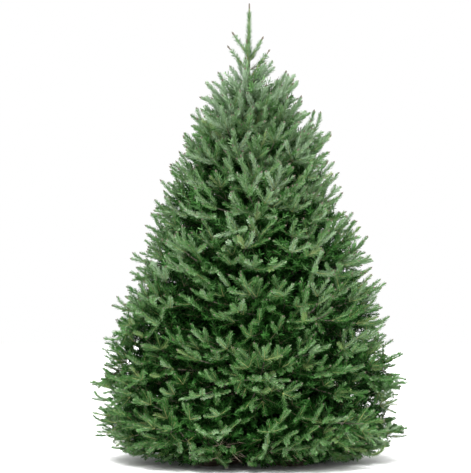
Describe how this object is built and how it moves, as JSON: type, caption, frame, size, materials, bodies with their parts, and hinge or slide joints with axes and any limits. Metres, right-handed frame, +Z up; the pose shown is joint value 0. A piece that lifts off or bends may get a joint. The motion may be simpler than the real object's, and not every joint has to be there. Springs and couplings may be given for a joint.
{
  "type": "cut fir christmas tree on a wooden cross stand",
  "caption": "Dense undecorated fir tree, cut for indoors, with a tapering trunk in whorls of boughs, full masses of needles and a plain wooden cross stand.",
  "frame": {"origin": "on the floor, under the middle of the cross stand, which is under the foot of the trunk", "axes": "+Z up the trunk, -Y towards the front of the tree, +X to the right of someone facing it"},
  "size_m": [1.4414, 1.4315, 2.1301],
  "materials": {
    "bark": "rough grey-brown fir bark",
    "green_twig": "this year's olive-brown twigs and buds, matt",
    "needles": "grey-green to deep green fir needles with a slight waxy sheen",
    "stand_wood": "dark stained softwood, matt"
  },
  "bodies": {
    "root": {"bough_1_1": "bark", "bough_1_2": "bark", "bough_1_3": "bark", "bough_1_4": "bark", "bough_1_5": "bark", "bough_2_1": "bark", "bough_2_2": "bark", "bough_2_3": "bark", "bough_2_4": "bark", "bough_2_5": "bark", "bough_3_1": "bark", "bough_3_2": "bark", "bough_3_3": "bark", "bough_3_4": "bark", "bough_4_1": "bark", "bough_4_2": "bark", "bough_4_3": "bark", "bough_4_4": "bark", "bough_5_1": "bark", "bough_5_2": "bark", "bough_5_3": "bark", "foliage_1_1": "needles", "foliage_1_2": "needles", "foliage_1_3": "needles", "foliage_1_4": "needles", "foliage_1_5": "needles", "foliage_2_1": "needles", "foliage_2_2": "needles", "foliage_2_3": "needles", "foliage_2_4": "needles", "foliage_2_5": "needles", "foliage_3_1": "needles", "foliage_3_2": "needles", "foliage_3_3": "needles", "foliage_3_4": "needles", "foliage_4_1": "needles", "foliage_4_2": "needles", "foliage_4_3": "needles", "foliage_4_4": "needles", "foliage_5_1": "needles", "foliage_5_2": "needles", "foliage_5_3": "needles", "foliage_6_1": "needles", "foliage_6_2": "needles", "foliage_6_3": "needles", "foliage_7_1": "needles", "foliage_7_2": "needles", "stand_brace_1": "stand_wood", "stand_brace_2": "stand_wood", "stand_brace_3": "stand_wood", "stand_brace_4": "stand_wood", "stand_timber_1": "stand_wood", "stand_timber_2": "stand_wood", "top_shoot_1": "green_twig", "top_shoot_2": "green_twig", "top_shoot_3": "green_twig", "top_shoot_4": "green_twig", "top_shoot_5": "green_twig", "trunk": "bark"}
  },
  "joints": []
}
